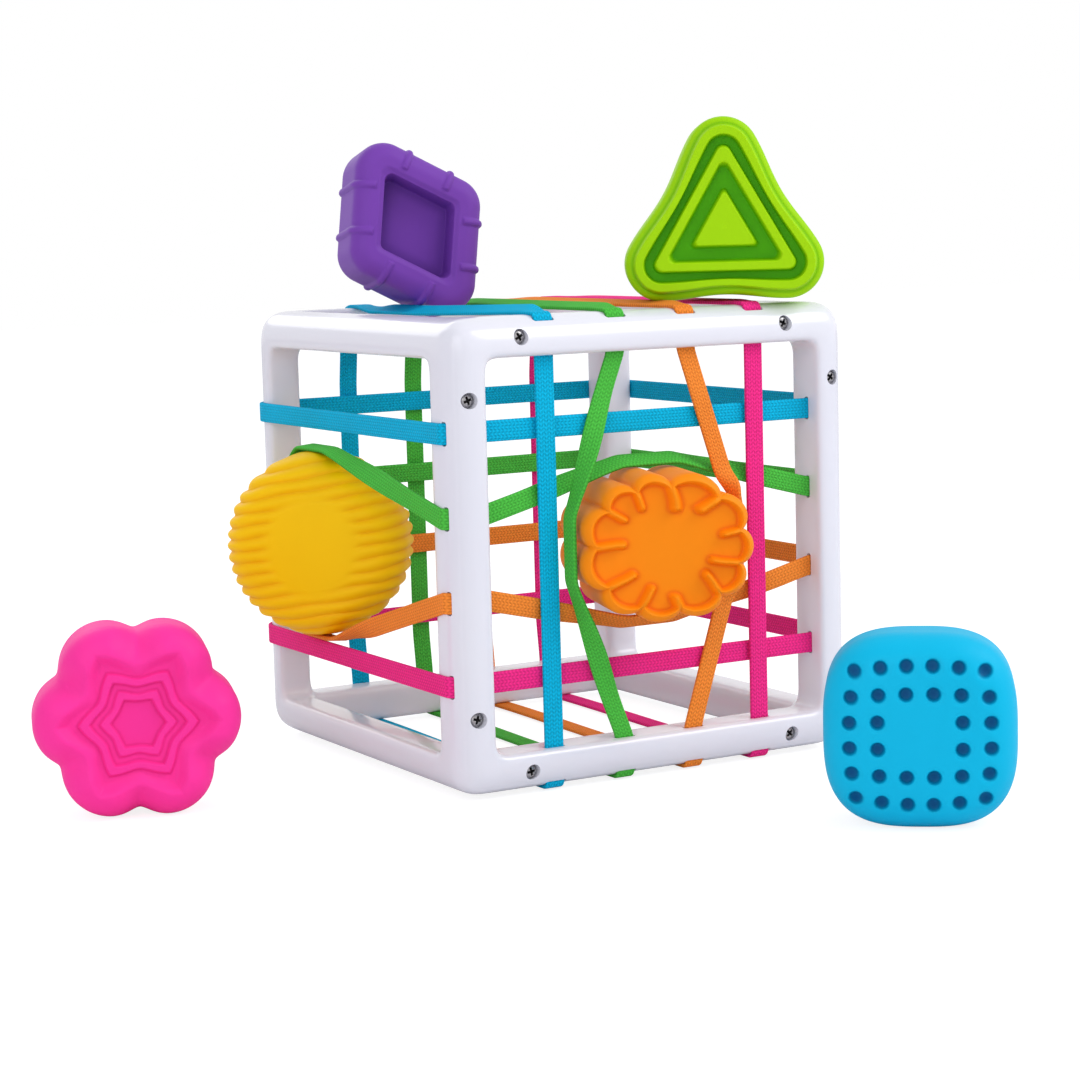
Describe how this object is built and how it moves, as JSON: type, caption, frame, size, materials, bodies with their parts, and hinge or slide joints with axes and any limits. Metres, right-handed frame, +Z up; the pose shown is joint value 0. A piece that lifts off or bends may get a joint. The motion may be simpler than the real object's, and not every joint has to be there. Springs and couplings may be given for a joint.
{
  "type": "shape sorter",
  "caption": "Open cube shape sorter laced with eight coloured elastic bands, with six soft shapes in it, on it and beside it.",
  "frame": {"origin": "middle of the cube frame's footprint, on the surface that it stands on", "axes": "+Z up, +X to the right and +Y to the back, seen from the front ring that carries the screws"},
  "size_m": [0.2695, 0.2796, 0.2138],
  "materials": {
    "frame_white": "glossy moulded plastic",
    "screw_steel": "plated steel",
    "elastic_blue": "woven elastic",
    "elastic_green": "woven elastic",
    "elastic_orange": "woven elastic",
    "elastic_pink": "woven elastic",
    "soft_yellow": "satin silicone",
    "soft_amber": "satin silicone",
    "soft_rose": "satin silicone",
    "soft_aqua": "satin silicone",
    "soft_purple": "satin silicone",
    "soft_lime": "satin silicone"
  },
  "bodies": {
    "frame": {"front_bezel": "frame_white", "core_ring": "frame_white", "rail_top_left": "frame_white", "rail_top_right": "frame_white", "rail_bottom_left": "frame_white", "rail_bottom_right": "frame_white", "rear_ring": "frame_white", "screw_top_left": "screw_steel", "screw_top_right": "screw_steel", "screw_bottom_left": "screw_steel", "screw_bottom_right": "screw_steel", "screw_left_low": "screw_steel", "screw_left_high": "screw_steel", "screw_right_low": "screw_steel", "screw_right_high": "screw_steel", "band_blue_flat": "elastic_blue", "band_green_flat": "elastic_green", "band_orange_flat": "elastic_orange", "band_pink_flat": "elastic_pink", "band_blue_upright": "elastic_blue", "band_green_upright": "elastic_green", "band_orange_upright": "elastic_orange", "band_pink_upright": "elastic_pink"},
    "disc": {"shape_disc": "soft_yellow"},
    "oval": {"shape_oval": "soft_amber"},
    "flower": {"shape_flower": "soft_rose"},
    "square": {"shape_square": "soft_aqua"},
    "rhombus": {"shape_rhombus": "soft_purple"},
    "triangle": {"shape_triangle": "soft_lime"}
  },
  "joints": [
    {"name": "disc_pull", "type": "slide", "parent": "frame", "child": "disc", "axis": [-0.809, 0.5878, 0], "range_m": [0, 0.06]},
    {"name": "oval_pull", "type": "slide", "parent": "frame", "child": "oval", "axis": [-0.2924, -0.9563, 0], "range_m": [0, 0.04]},
    {"name": "flower_lift", "type": "slide", "parent": "frame", "child": "flower", "axis": [0, 0, 1], "range_m": [0, 0.08]},
    {"name": "square_lift", "type": "slide", "parent": "frame", "child": "square", "axis": [0, 0, 1], "range_m": [0, 0.08]},
    {"name": "rhombus_lift", "type": "slide", "parent": "frame", "child": "rhombus", "axis": [0, 0, 1], "range_m": [0, 0.08]},
    {"name": "triangle_lift", "type": "slide", "parent": "frame", "child": "triangle", "axis": [0, 0, 1], "range_m": [0, 0.08]}
  ]
}
